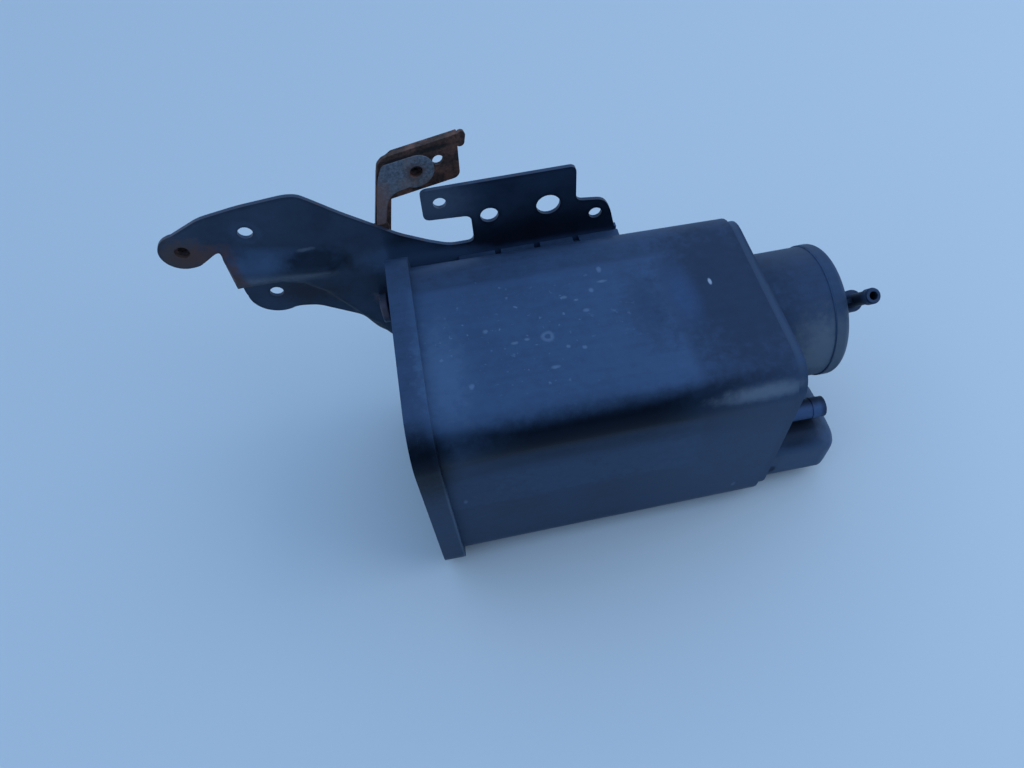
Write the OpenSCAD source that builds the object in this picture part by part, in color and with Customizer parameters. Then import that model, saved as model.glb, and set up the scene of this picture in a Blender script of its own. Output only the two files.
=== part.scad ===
// Evaporative-emission charcoal canister with its pressed-steel mounting bracket.
// Millimetres, +Z up, +X along the canister from the welded cover to the ports.
// The origin is the middle of the welding flange's lower edge, on which the canister stands.

/* [Shell] */
// Length of the drafted body, from the flange to the stepped rim
body_l = 160; // [120:1:220]
// Width of the body at the flange
body_w = 111.5; // [100:0.5:140]
// Height of the body at the flange
body_h = 122.5; // [112:0.5:150]
// Radius of the body's long edges at the flange
body_r = 18; // [14:0.5:24]
// Inward draft of the front and back over the body's length
draft_w = 0.7; // [0.2:0.1:4]
// Inward draft of the top and bottom over the body's length
draft_h = 3.4; // [0.5:0.1:5]
// Wall thickness of the moulding
wall = 2.8; // [2:0.1:4]
// Length of the stepped rim at the port end
rim_l = 5; // [3:0.5:10]
// How far the rim steps in from the body
rim_step = 2; // [1:0.1:3]
// Thickness of the wall that closes the port end
end_wall = 3; // [2:0.1:5]
// How far the welding flange stands out from the body
flange_out = 4.5; // [3:0.1:7]
// Thickness of the welding flange
flange_t = 6.5; // [4:0.5:10]
// Height of the dividing wall above the flange's lower edge
divider_z = 70; // [60:1:76]
// Thickness of the dividing wall
divider_t = 2.5; // [1.5:0.1:4]
// Height of the ribs that keep the felts off the end wall
standoff = 5; // [3:0.5:8]

/* [End cover] */
// Thickness of the cover at its welded edge
cover_t = 4.5; // [3.5:0.1:8]
// Depth of the ribbed pocket in the cover's outer face
cover_pocket = 2.2; // [1:0.1:3]
// Width of the plain border round the pocket
cover_border = 9; // [6:0.5:15]
// Height of the locating ring inside the shell
locator_h = 4; // [2:0.5:8]

/* [Vent chamber] */
// Outside radius of the round chamber
vent_r = 33; // [25:0.5:36]
// Length of the round chamber
vent_l = 29; // [20:0.5:45]
// Wall of the round chamber
vent_wall = 2.4; // [1.6:0.1:4]
// Sideways place of the chamber's axis
vent_y = 6.4; // [-10:0.1:10]
// Height of the chamber's axis above the dividing wall
vent_rise = 17; // [5:0.5:20]
// How far the cap stands out from the chamber
cap_lip = 0.6; // [0.5:0.1:2]
// Length of the cap outside the chamber
cap_l = 7; // [5:0.5:12]
// Rounding of the cap's outer edge
cap_round = 3; // [1:0.1:4]

/* [Hose ports] */
// Outside radius of the tank and purge ports
port_r = 5.3; // [4:0.1:7]
// Bore radius of the tank and purge ports
port_bore_r = 3.4; // [2:0.1:5]
// Length of the tank and purge ports
port_l = 31; // [20:0.5:45]
// Outside radius of the vent nipple
nipple_r = 3.2; // [2.5:0.1:5]
// Bore radius of the vent nipple
nipple_bore_r = 2; // [1:0.1:3]
// Reach of the vent nipple from the cap's centre
nipple_reach = 42; // [36:0.5:60]
// Lean of the vent nipple from upright, towards the front
nipple_lean = 34; // [0:1:80]

/* [Liquid trap] */
// Length of the trap block on the end wall
trap_l = 39; // [20:0.5:45]
// Width of the trap block
trap_w = 44; // [30:0.5:48]
// Height of the trap block
trap_h = 35; // [24:0.5:36]

/* [Bracket] */
// Sheet thickness of the bracket and the support tab
sheet_t = 2; // [1.2:0.1:3]
// Setback of the lower ear behind the arm
joggle = 5; // [3:0.5:8]
// Height of the stiffening bead on the arm
bead_h = 5; // [2:0.5:6]
// Half width of the stiffening bead at the arm's edge
bead_wide = 13; // [9:0.5:14]
// Half width of the stiffening bead at its round end
bead_narrow = 8; // [6:0.5:10]
// Radius of the two bolt holes in the arm
bolt_hole_r = 3.5; // [2.5:0.1:4.5]
// Radius of the threaded bores in the weld nuts
thread_r = 2.5; // [2:0.1:3.3]
// Width across flats of the weld nuts
nut_af = 11; // [10:0.5:14]
// Height of the weld nuts
nut_h = 6; // [4:0.5:9]
// Yaw of the support tab from the arm
tab_yaw = 10; // [0:1:20]

/* [Bed stack] */
// Room for the springs between the cover and the grid plates
spring_room = 23; // [18:0.5:30]
// Wire diameter of the springs
wire_d = 1.6; // [1:0.1:2.4]
// Mean radius of the springs
coil_r = 10; // [8:0.5:12]
// Turns of each spring
coil_turns = 4; // [3:0.5:6]
// Thickness of the grid plates
grid_t = 3; // [2:0.1:5]
// Thickness of each felt
felt_t = 4; // [2:0.5:6]
// Radius of the holes in the grid plates
grid_hole_r = 3; // [1.5:0.1:4]
// Spacing of the holes in the grid plates
grid_pitch = 13; // [9:0.5:20]

/* [Hidden] */
$fn = 64;
round_fn = 32;
// Overlap that lets joined shapes of one piece fuse
fuse = 0.4;
// Clearance of pieces that are dropped into a moulding
fit_gap = 0.2;
// Thickness of the slices that a drafted body is stretched between
slice = 0.01;
// Thickness of the moulded ribs
rib_t = 2;

// Flange and cover outline
flange_w = body_w + 2*flange_out;
flange_h = body_h + 2*flange_out;
flange_r = body_r + flange_out/2;
mid_z = flange_h/2;
weld_x = -flange_t/2;
body_x = flange_t/2;
rim_x = body_x + body_l;
end_x = rim_x + rim_l;
end_in_x = end_x - end_wall;

// Bed stack, from the cover to the ports
grid_x = weld_x + spring_room;
cover_felt_x = grid_x + grid_t;
bed_x = cover_felt_x + felt_t;
ledge_x = end_in_x - standoff;
port_felt_x = ledge_x - felt_t;
divider_x = grid_x - 2*grid_t;
divider_low = divider_z - divider_t/2;
divider_high = divider_z + divider_t/2;
main_mid_z = (divider_low + mid_z - body_h/2)/2;
second_mid_z = (divider_high + mid_z + body_h/2)/2;
standoff_pitch = 24;
// Places of the springs in the YZ plane: two on the main side, one on the second
spring_at = [[-body_w/4, main_mid_z], [body_w/4, main_mid_z], [0, second_mid_z]];
coil_steps = 14;
wire_sides = 6;
peg_r = (coil_r - wire_d/2)*cos(180/coil_steps) - fit_gap;
peg_h = 5;
grid_columns = 7;
main_rows = 4;
second_rows = 3;

// Vent chamber and cap
vent_z = divider_z + vent_rise;
vent_end_x = end_x + vent_l;
vent_in_r = vent_r - vent_wall;
cap_x = vent_end_x + cap_l;
cap_r = vent_r + cap_lip;
cap_plate = 3;
spigot_l = 6;
spigot_wall = 2.4;
hub_wall = 2.6;
hub_r = nipple_r + hub_wall;
hub_bore_r = nipple_bore_r + 0.3;
nipple_clear = 4;
nipple_bead = 0.6;
nipple_bead_l = 4;
nipple_setback = 1;
// Thick root of the vent nipple
collar_r = hub_r - 0.4;
collar_l = 22;
vent_rib_pitch = 18;
nipple_x = cap_x + nipple_clear + nipple_r;

// Hose ports: sideways place and height of their axes
tank_port_drop = 14;
tank_port_y = -33;
tank_port_z = divider_z - tank_port_drop;
purge_port_drop = 25;
purge_port_y = 14;
purge_port_z = divider_z - purge_port_drop;
port_bead = 0.3;
port_bead_l = 4;
port_setback = 3;

// Liquid trap: its front lower edge follows the body's rounded edge
trap_inset = 6.5;
trap_rise = 3.5;
trap_y = -body_w/2 + trap_inset;
trap_z = mid_z - body_h/2 + draft_h + rim_step + trap_rise;
trap_r = 9;
trap_top_r = 14;
trap_low_r = 5;

// Rail that holds the bracket's plate behind the body
sheet_clear = 2;
sheet_y = flange_w/2 + sheet_clear;
sheet_rise = 48;
sheet_z = mid_z + sheet_rise;
slot_gap = 0.15;
rail_start = 25;
rail_x = body_x + rail_start;
rail_l = 84;
rail_drop = 2;
rail_z = sheet_z - rail_drop;
rail_h = 40;
rail_lip = 2.6;
rail_notches = 3;
rail_notch_w = 3.2;
rail_notch_d = 3;
rail_pitch = 20.5;

// Bracket outline, in the sheet's own plane: x along the canister, h above the sheet's datum height
arm_tip = [-99.5, 31.5];
arm_tip_r = 10.6;
ear_centre = [-68, -10];
ear_r = 14.7;
arm_edge_x = -83;
upper_hole = [-68, 37];
plate_left = 15;
plate_top = 43.5;
plate_low = wall - rail_drop - rail_h;
// Plain holes in the plate: place and radius of each
plate_holes = [[23.5, 35, 3.2], [46.5, 22.3, 4.5], [76, 22.5, 6], [100, 11.8, 3.3]];
// Corners of the plate's port end, from its lower corner up to its top edge
plate_nose = [[111, -2], [107.5, 14], [104, 20], [90, 22]];
// Corners of the notch beside the plate and of the arm's upper edge, from right to left
arm_top = [[14.5, 25.5], [37.5, 24], [37.5, 6.5], [25, 6.5], [15, 11.2], [1.5, 19], [-23, 38.5],
    [-36, 50], [-39.5, 52.8], [-45, 53.8], [-67, 52], [-85.5, 49], [-103.2, 40.8]];
// Corners of the arm's left edge, from the tip down to the bead
arm_left = [[-106, 25], [-94.9, 22], [-85.3, 28.2], [-82.6, 28]];
// Corners of the ear, from the joggle's lower end round to its left edge
ear_corners = [[-17.5, -58], [-23, -52], [-29, -39.5], [-50, -25], [-60, -23], [-68, -24.7], [-83, -10]];
joggle_line = [[-83, 1], [-62, 1], [-52, -3], [-43, -11], [-21, -47], [-14, -60]];
joggle_lean = 1;
joggle_drop = [-joggle_lean, -sheet_t];
bead_from = [arm_edge_x, 16];
bead_to = [-38, 9];
bead_blend = 0.1;
function bead_r(half_w) = (half_w*half_w + bead_h*bead_h)/(2*bead_h);
corner_r = 3;
lug_x = -17;
lug_t = 2*sheet_t;
lug_low = -34;
lug_h = 15;
lug_reach = 10;
lug_r = 4;

// Support tab, in its own yawed plane: s along the plane from its foot, h above the same datum
tab_foot = [-4.75, sheet_y + sheet_t + 1.5];
tab_nut_at = [20.5, 50.2];
tab_hole_at = [31.6, 52.7];
tab_hole_r = 2.7;
tab_nut_hole_r = thread_r + 0.7;
tab_corner_r = 3.5;
tab_corners = [[-6, 17], [-3.5, 28], [2.5, 54.5], [3.8, 59.2], [6.2, 61.5], [9.6, 62.35], [42, 63.8],
    [41, 40], [6.4, 38.5], [3.8, 25.5], [2, 17]];
// Welded foot, folded top edge and end hook of the support tab
foot_start = -9;
foot_rise = 4;
foot_w = 11;
foot_h = 22;
// Places along the folded edge, and its depth at each
lip_line = [[7.6, 61.4, 2.1], [11.4, 62.25, 3.8], [42.3, 63.6, 3.8]];
hook_ends = [[43.2, 58.8], [43.9, 62.4]];
hook_r = 2.1;

// Rounded rectangle as exact arcs and straight edges
module rounded_rect(w, h, r) {
    square([w - 2*r, h], center = true);
    square([w, h - 2*r], center = true);
    for (sy = [-1, 1], sz = [-1, 1])
        translate([sy*(w/2 - r), sz*(h/2 - r)]) circle(r);
}

// Extrudes a shape drawn in the YZ plane along +X
module along_x(x, l) {
    translate([x, 0, 0]) rotate([90, 0, 90]) linear_extrude(l) children();
}

// Extrudes a shape drawn in the XZ plane along +Y
module along_y(y, t) {
    translate([0, y + t, 0]) rotate([90, 0, 0]) linear_extrude(t) children();
}

// Tube or rod along +X at a place in the YZ plane
module rod_x(x, y, z, r, l) {
    translate([x, y, z]) rotate([0, 90, 0]) cylinder(h = l, r = r);
}

// Round corner bars of the drafted body's cross-section at one place along X
module body_section(inset, x) {
    part = (x - body_x)/body_l;
    half_w = body_w/2 - inset - draft_w*part;
    half_h = body_h/2 - inset - draft_h*part;
    r = body_r - inset - draft_w*part;
    for (sy = [-1, 1], sz = [-1, 1])
        translate([x, sy*(half_w - r), mid_z + sz*(half_h - r)])
            rotate([0, 90, 0]) cylinder(h = slice, r = r, $fn = round_fn);
}

// Drafted body, set in from the outside by a wall, between two places along X
module drafted(inset, x0, x1) {
    hull() {
        body_section(inset, x0);
        body_section(inset, x1 - slice);
    }
}

// Slice of the inside, below the divider (main side) or above it
module chamber_slice(main, x0, x1, gap) {
    low = main ? 0 : divider_high + gap;
    high = main ? divider_low - gap : flange_h;
    intersection() {
        drafted(wall + gap, x0, x1);
        translate([x0, -flange_w/2, low]) cube([x1 - x0, flange_w, high - low]);
    }
}

// Outside of a hose port, with a bead near its mouth
module port_outside(y, z) {
    rod_x(end_x - fuse, y, z, port_r, port_l + fuse);
    rod_x(end_x + port_l - port_setback - port_bead_l, y, z, port_r + port_bead, port_bead_l);
}

// Rounded block of the liquid trap, or the pocket inside it when inset
module trap_block(inset, x0) {
    w = trap_w - 2*inset;
    h = trap_h - 2*inset;
    r = trap_r - inset;
    top_r = trap_top_r - inset;
    low_r = trap_low_r - inset;
    l = end_x + trap_l - inset - x0;
    mid_y = trap_y + trap_w/2;
    intersection() {
        along_x(x0, l) translate([mid_y, trap_z + trap_h/2]) rounded_rect(w, h, r);
        translate([x0 + (l - r)/2, mid_y, trap_z]) linear_extrude(trap_h) rounded_rect(l + r, w, r);
        along_y(trap_y, trap_w)
            translate([x0 + (l - top_r)/2, trap_z + (trap_h - top_r)/2]) rounded_rect(l + top_r, h + top_r, top_r);
        along_y(trap_y, trap_w)
            translate([x0 + (l - low_r)/2, trap_z + (trap_h + low_r)/2]) rounded_rect(l + low_r, h + low_r, low_r);
    }
}

// Slotted rail on the body's back that takes the bracket's plate
module bracket_rail() {
    back_y = body_w/2 - draft_w - wall/2;
    slot_y = sheet_y - slot_gap;
    slot_w = sheet_t + 2*slot_gap;
    difference() {
        translate([rail_x, back_y, rail_z - rail_h])
            cube([rail_l, slot_y + slot_w + rail_lip - back_y, rail_h]);
        translate([rail_x - fuse, slot_y, rail_z - rail_h + wall])
            cube([rail_l + 2*fuse, slot_w, rail_h]);
        for (i = [1:rail_notches])
            translate([rail_x + i*rail_pitch - rail_notch_w/2, body_w/2 + fuse, rail_z - rail_notch_d])
                cube([rail_notch_w, slot_y - body_w/2, rail_notch_d + fuse]);
    }
}

// Ribs that hold the felts and the filter off the end wall
module standoff_ribs() {
    reach = body_h/2 - draft_h - rim_step - wall/2;
    for (i = [-1:1]) {
        translate([ledge_x, i*standoff_pitch - rib_t/2, mid_z - reach])
            cube([standoff + fuse, rib_t, 2*reach]);
        translate([end_x - fuse, vent_y + i*vent_rib_pitch - rib_t/2, vent_z - vent_in_r/2])
            cube([standoff + fuse, rib_t, vent_in_r]);
    }
}

// Wall that parts the two beds, set into the side walls and narrower inside the rim
module divider() {
    reach = body_w/2 - draft_w - wall/2;
    translate([divider_x, -reach, divider_low]) cube([rim_x - divider_x, 2*reach, divider_t]);
    translate([rim_x - fuse, rim_step - reach, divider_low])
        cube([end_in_x - rim_x + 2*fuse, 2*(reach - rim_step), divider_t]);
}

module canister_shell() {
    color("#23272e") difference() {
        union() {
            difference() {
                union() {
                    drafted(0, body_x - fuse, rim_x);
                    drafted(rim_step, rim_x - fuse, end_x);
                    along_x(weld_x, flange_t)
                        translate([0, mid_z]) rounded_rect(flange_w, flange_h, flange_r);
                    trap_block(0, end_x - fuse);
                }
                drafted(wall, weld_x - fuse, ledge_x);
                drafted(wall + rim_step, ledge_x - fuse, end_in_x);
                trap_block(wall, end_in_x - fuse);
            }
            rod_x(end_x - fuse, vent_y, vent_z, vent_r, vent_l + fuse);
            port_outside(tank_port_y, tank_port_z);
            port_outside(purge_port_y, purge_port_z);
            bracket_rail();
            divider();
            standoff_ribs();
        }
        difference() {
            rod_x(end_x, vent_y, vent_z, vent_in_r, vent_l + fuse);
            standoff_ribs();
        }
        rod_x(end_in_x - fuse, vent_y, vent_z + vent_r/6, vent_r/4, end_wall + 2*fuse);
        for (p = [[tank_port_y, tank_port_z], [purge_port_y, purge_port_z]])
            rod_x(end_in_x - fuse, p[0], p[1], port_bore_r, end_wall + port_l + 2*fuse);
    }
}

// Ribs in the cover's outer pocket, flush with its border
module cover_ribs() {
    pocket_w = flange_w - 2*cover_border;
    pocket_h = flange_h - 2*cover_border;
    for (i = [-1:1])
        translate([weld_x - cover_t, i*pocket_w/4 - rib_t/2, mid_z - pocket_h/2 - fuse])
            cube([cover_pocket + fuse, rib_t, pocket_h + 2*fuse]);
    for (i = [-1:1])
        translate([weld_x - cover_t, -pocket_w/2 - fuse, mid_z + i*pocket_h/4 - rib_t/2])
            cube([cover_pocket + fuse, pocket_w + 2*fuse, rib_t]);
}

module end_cover() {
    inner_w = body_w - 2*(wall + fit_gap);
    inner_h = body_h - 2*(wall + fit_gap);
    inner_r = body_r - wall - fit_gap;
    color("#20242a") {
        difference() {
            along_x(weld_x - cover_t, cover_t)
                translate([0, mid_z]) rounded_rect(flange_w, flange_h, flange_r);
            along_x(weld_x - cover_t - fuse, cover_pocket + fuse)
                translate([0, mid_z]) rounded_rect(flange_w - 2*cover_border, flange_h - 2*cover_border,
                    flange_r - cover_border);
        }
        cover_ribs();
        difference() {
            along_x(weld_x - fuse, locator_h + fuse)
                translate([0, mid_z]) rounded_rect(inner_w, inner_h, inner_r);
            along_x(weld_x, locator_h + fuse)
                translate([0, mid_z]) rounded_rect(inner_w - 2*wall, inner_h - 2*wall, inner_r - wall);
        }
        for (p = spring_at) rod_x(weld_x - fuse, p[0], p[1], peg_r, peg_h + fuse);
    }
}

// Half section of the cap: a disc with a rounded edge and a spigot inside the chamber
module cap_section() {
    difference() {
        union() {
            square([cap_r - cap_round, cap_l]);
            square([cap_r, cap_l - cap_round]);
            translate([cap_r - cap_round, cap_l - cap_round]) circle(cap_round);
            translate([0, -spigot_l]) square([vent_in_r - fit_gap, spigot_l + fuse]);
        }
        translate([-fuse, -spigot_l - fuse])
            square([vent_in_r - fit_gap - spigot_wall + fuse, spigot_l + cap_l - cap_plate + fuse]);
        translate([-cap_r, -cap_r]) square([cap_r, 2*cap_r]);
    }
}

// Turns a rod along +Z into the nipple's direction, from the middle of the cap
module at_nipple() {
    translate([nipple_x, vent_y, vent_z]) rotate([nipple_lean, 0, 0]) children();
}

module filter_cap() {
    hub_l = nipple_x + hub_r - cap_x;
    color("#1d2026") difference() {
        union() {
            translate([vent_end_x, vent_y, vent_z]) rotate([0, 90, 0]) rotate_extrude() cap_section();
            rod_x(cap_x - fuse, vent_y, vent_z, hub_r, hub_l + fuse);
            at_nipple() cylinder(h = nipple_reach, r = nipple_r);
            at_nipple() cylinder(h = collar_l, r = collar_r);
            at_nipple() translate([0, 0, nipple_reach - nipple_setback - nipple_bead_l])
                cylinder(h = nipple_bead_l, r = nipple_r + nipple_bead);
            at_nipple() translate([cap_x - nipple_x - fuse, -rib_t/2, 0])
                cube([nipple_x - cap_x + fuse, rib_t, cap_r - cap_round - rib_t]);
        }
        at_nipple() translate([0, 0, -nipple_bore_r/2])
            cylinder(h = nipple_reach + nipple_bore_r, r = nipple_bore_r);
        rod_x(cap_x - cap_plate - fuse, vent_y, vent_z, hub_bore_r,
            nipple_x + hub_bore_r - cap_x + cap_plate + fuse);
    }
}

module vent_filter() {
    x0 = end_x + standoff;
    color("#5b5f63")
        rod_x(x0, vent_y, vent_z, vent_in_r - fit_gap, vent_end_x - spigot_l - fit_gap - x0);
}

module main_carbon_bed() {
    color("#17181a") chamber_slice(true, bed_x, port_felt_x, fit_gap);
}

module second_carbon_bed() {
    color("#17181a") chamber_slice(false, bed_x, port_felt_x, fit_gap);
}

module main_port_felt() {
    color("#b9b39f") chamber_slice(true, port_felt_x, ledge_x, fit_gap);
}

module second_port_felt() {
    color("#b9b39f") chamber_slice(false, port_felt_x, ledge_x, fit_gap);
}

module main_cover_felt() {
    color("#b9b39f") chamber_slice(true, cover_felt_x, bed_x, fit_gap);
}

module second_cover_felt() {
    color("#b9b39f") chamber_slice(false, cover_felt_x, bed_x, fit_gap);
}

// Perforated plate with a peg for each spring that presses on it
module grid_plate(main, rows, pegs) {
    z_mid = main ? main_mid_z : second_mid_z;
    difference() {
        chamber_slice(main, grid_x, cover_felt_x, fit_gap);
        for (i = [0:grid_columns - 1], j = [0:rows - 1])
            rod_x(grid_x - fuse, (i - (grid_columns - 1)/2)*grid_pitch, z_mid + (j - (rows - 1)/2)*grid_pitch,
                grid_hole_r, grid_t + 2*fuse);
    }
    for (p = pegs) rod_x(grid_x - peg_h, p[0], p[1], peg_r, peg_h + grid_t/2);
}

module main_grid_plate() {
    color("#3a3d40") grid_plate(true, main_rows, [spring_at[0], spring_at[1]]);
}

module second_grid_plate() {
    color("#3a3d40") grid_plate(false, second_rows, [spring_at[2]]);
}

// Compression spring along +X: rings of points swept along a helix
module spring(at) {
    sides = wire_sides;
    rings = coil_turns*coil_steps;
    lift = spring_room - wire_d - 2*fit_gap;
    points = [for (i = [0:rings], k = [0:sides - 1])
        let (a = 360*i/coil_steps, b = 360*k/sides, r = coil_r + wire_d/2*cos(b))
            [lift*i/rings + wire_d/2*sin(b), r*cos(a), r*sin(a)]];
    skin = [for (i = [0:rings - 1], k = [0:sides - 1])
        let (n = (k + 1) % sides, p = i*sides)
            [p + k, p + n, p + sides + n, p + sides + k]];
    first = [for (k = [0:sides - 1]) sides - 1 - k];
    last = [for (k = [0:sides - 1]) rings*sides + k];
    translate([weld_x + wire_d/2 + fit_gap, at[0], at[1]])
        polyhedron(points = points, faces = concat([first], skin, [last]));
}

module main_spring_left() {
    color("#8f949a") spring(spring_at[0]);
}

module main_spring_right() {
    color("#8f949a") spring(spring_at[1]);
}

module second_spring() {
    color("#8f949a") spring(spring_at[2]);
}

// Rounds the outer and the inner corners of a flat shape
module soften(r) {
    offset(r, $fn = round_fn) offset(delta = -2*r) offset(r, $fn = round_fn) children();
}

// Outline of the plate and the arm above the joggle
module arm_outline() {
    low = [for (p = joggle_line) p + joggle_drop];
    soften(corner_r)
        polygon(concat(low, [[plate_left, plate_low], [plate_nose[0][0], plate_low]], plate_nose,
            [[plate_nose[3][0], plate_top], [plate_left, plate_top]], arm_top, arm_left));
    translate(arm_tip) circle(arm_tip_r);
}

// Outline of the lower ear, below the joggle
module ear_outline() {
    soften(corner_r)
        polygon(concat(joggle_line, ear_corners));
    translate(ear_centre) circle(ear_r);
}

// Step between the arm and the ear
module joggle_wall() {
    last = len(joggle_line) - 1;
    polygon(concat(joggle_line, [for (i = [last:-1:0]) joggle_line[i] + joggle_drop]));
}

// Tapered, round-ended bead pressed out of the arm, or its hollow when inset
module bead(inset) {
    r0 = bead_r(bead_wide);
    r1 = bead_r(bead_narrow);
    start = [bead_from[0], sheet_y - bead_h + r0, bead_from[1]];
    end = [bead_to[0], sheet_y - bead_h + r1, bead_to[1]];
    run = end - start;
    translate(start)
        rotate([0, acos(run[2]/norm(run)), atan2(run[1], run[0])])
            cylinder(h = norm(run), r1 = r0 - inset, r2 = r1 - inset);
    translate(end) sphere(r1 + bead_blend - inset);
}

// Drills a hole along Y at a place in the sheet's plane
module drill(at, r) {
    translate([at[0], sheet_y - bead_h, at[1]])
        rotate([-90, 0, 0]) cylinder(h = joggle + sheet_t + 2*bead_h, r = r);
}

module mounting_bracket() {
    color("#1b1d21") translate([0, 0, sheet_z]) difference() {
        union() {
            along_y(sheet_y, sheet_t) arm_outline();
            along_y(sheet_y, joggle + sheet_t) joggle_wall();
            along_y(sheet_y + joggle, sheet_t) ear_outline();
            intersection() {
                bead(0);
                translate([arm_edge_x, sheet_y - bead_h, joggle_line[0][1]])
                    cube([-arm_edge_x, bead_h + sheet_t/2, plate_top]);
            }
            along_x(lug_x, lug_t) translate([sheet_y + (sheet_t - lug_reach)/2, lug_low + lug_h/2])
                rounded_rect(lug_reach + sheet_t, lug_h, lug_r);
        }
        bead(sheet_t);
        drill(upper_hole, bolt_hole_r);
        drill(ear_centre, bolt_hole_r);
        drill(arm_tip, bolt_hole_r);
        for (hole = plate_holes) drill(hole, hole[2]);
    }
}

// Frame of the support tab: its own plane, yawed about its foot
module in_tab() {
    translate([tab_foot[0], tab_foot[1], sheet_z]) rotate([0, 0, tab_yaw]) children();
}

// Drills a hole through the support tab
module drill_tab(at, r) {
    in_tab() translate([at[0], -fuse, at[1]])
        rotate([-90, 0, 0]) cylinder(h = sheet_t + 2*fuse, r = r);
}

module support_tab() {
    color("#5a3a2c") difference() {
        union() {
            in_tab() along_y(0, sheet_t) soften(tab_corner_r) polygon(tab_corners);
            translate([tab_foot[0] + foot_start, sheet_y + sheet_t, sheet_z + foot_rise])
                cube([foot_w, sheet_t, foot_h]);
            in_tab() for (i = [1:len(lip_line) - 1]) hull() for (p = [lip_line[i - 1], lip_line[i]])
                translate([p[0], fuse, p[1] - sheet_t]) cube([fuse, p[2] - fuse, sheet_t]);
            in_tab() along_y(0, sheet_t) hull() for (p = hook_ends) translate(p) circle(hook_r);
        }
        drill_tab(tab_hole_at, tab_hole_r);
        drill_tab(tab_nut_at, tab_nut_hole_r);
    }
}

// Hexagonal weld nut with a threaded bore along +Y
module weld_nut() {
    rotate([-90, 0, 0]) difference() {
        cylinder(h = nut_h, r = nut_af/2/cos(30), $fn = 6);
        translate([0, 0, -fuse]) cylinder(h = nut_h + 2*fuse, r = thread_r);
    }
}

module arm_weld_nut() {
    color("#4a3a32") translate([arm_tip[0], sheet_y + sheet_t, sheet_z + arm_tip[1]]) weld_nut();
}

module tab_weld_nut() {
    color("#4a3a32") in_tab() translate([tab_nut_at[0], sheet_t, tab_nut_at[1]]) weld_nut();
}

canister_shell();
end_cover();
filter_cap();
vent_filter();
main_carbon_bed();
second_carbon_bed();
main_port_felt();
second_port_felt();
main_cover_felt();
second_cover_felt();
main_grid_plate();
second_grid_plate();
main_spring_left();
main_spring_right();
second_spring();
mounting_bracket();
support_tab();
arm_weld_nut();
tab_weld_nut();
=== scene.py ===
"""Looks of a charcoal canister with its mounting bracket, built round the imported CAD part."""

import logging
import math
from dataclasses import dataclass
from enum import Enum
from typing import Any, Callable, Iterable, Optional, Sequence

import bmesh
import bpy
import numpy as np
from mathutils import Matrix, Vector, geometry


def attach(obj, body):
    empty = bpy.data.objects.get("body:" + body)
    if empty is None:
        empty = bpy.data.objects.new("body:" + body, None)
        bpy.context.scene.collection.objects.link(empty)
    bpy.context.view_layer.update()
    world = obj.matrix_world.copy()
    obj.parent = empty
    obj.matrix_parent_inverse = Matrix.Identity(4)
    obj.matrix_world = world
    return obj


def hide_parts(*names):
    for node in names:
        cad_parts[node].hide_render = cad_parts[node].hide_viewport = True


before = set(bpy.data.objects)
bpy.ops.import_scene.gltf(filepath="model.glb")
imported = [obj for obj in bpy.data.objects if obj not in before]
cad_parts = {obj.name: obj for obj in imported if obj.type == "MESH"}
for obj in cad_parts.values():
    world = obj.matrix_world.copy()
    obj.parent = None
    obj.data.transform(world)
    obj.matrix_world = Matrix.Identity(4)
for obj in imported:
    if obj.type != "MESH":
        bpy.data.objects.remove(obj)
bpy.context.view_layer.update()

LOG = logging.getLogger("canister")
MM = 0.001
ROOT = "root"
# Distance in metres within which the corners of CAD triangles are one point
MERGED = 2e-6
# Differences in millimetres that don't count, between distances and between points of an outline
SAME_DISTANCE = 1e-9
SAME_POINT = 1e-4
# Specular level of a surface without a sheen of its own
PLAIN_SHEEN = 0.5
# Steps across a rounded edge, round a bolt hole and round a large round end
EDGE_STEPS = 3
HOLE_STEPS = 28
END_STEPS = 48

Tree = bpy.types.NodeTree
Piece = bpy.types.Object
Corner = tuple[float, float]
Place = tuple[float, float, float]
Tip = tuple[Place, float]
Round = tuple[float, float, float]
Surface = tuple[Any, Any, Any]
Move = Callable[[np.ndarray], np.ndarray]

# Places and half widths, in millimetres, of the pale chips on the canister's top and front
CHIPS = ((72.3, 11.3, 125.5, 1.4, 0.8), (77.6, 8.6, 125.4, 1.1, 0.7), (85.9, 12.8, 125.2, 1.0, 1.3),
         (91.7, 17.2, 125.1, 2.2, 0.7), (33.4, -1.2, 126.4, 1.0, 1.0), (22.8, -29.7, 126.6, 1.0, 1.2),
         (50.9, -9.5, 126.0, 1.1, 0.7), (45.1, -10.4, 126.1, 1.5, 0.7), (68.1, -17.0, 125.6, 0.8, 0.8),
         (75.1, -18.9, 125.5, 0.9, 0.9), (80.9, 1.5, 125.3, 1.3, 0.9), (60.4, -27.0, 125.8, 1.6, 0.8),
         (92.5, 24.6, 125.1, 1.0, 1.6), (10.1, -55.6, 71.0, 0.9, 1.2), (148.6, -55.2, 30.5, 1.1, 1.2))


class Edge(Enum):
    """Rounding of the edges of each kind of piece, in millimetres."""

    MOULDED = 0.8
    CAP = 0.5
    SHEARED = 0.35
    RUSTED = 0.6
    NUT = 0.45


class Angle(Enum):
    """Angles between faces, in degrees: below FLAT they are merged, and below SMOOTH shaded as one surface. Edges of
    mouldings are rounded above MOULDED, and those of sheets above SHEARED.
    """

    FLAT = 0.8
    MOULDED = 28.0
    SMOOTH = 42.0
    SHEARED = 50.0


class Ramp(Enum):
    """Shapes of a ramp between two values."""

    LINEAR = "LINEAR"
    SMOOTH = "SMOOTHSTEP"


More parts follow.
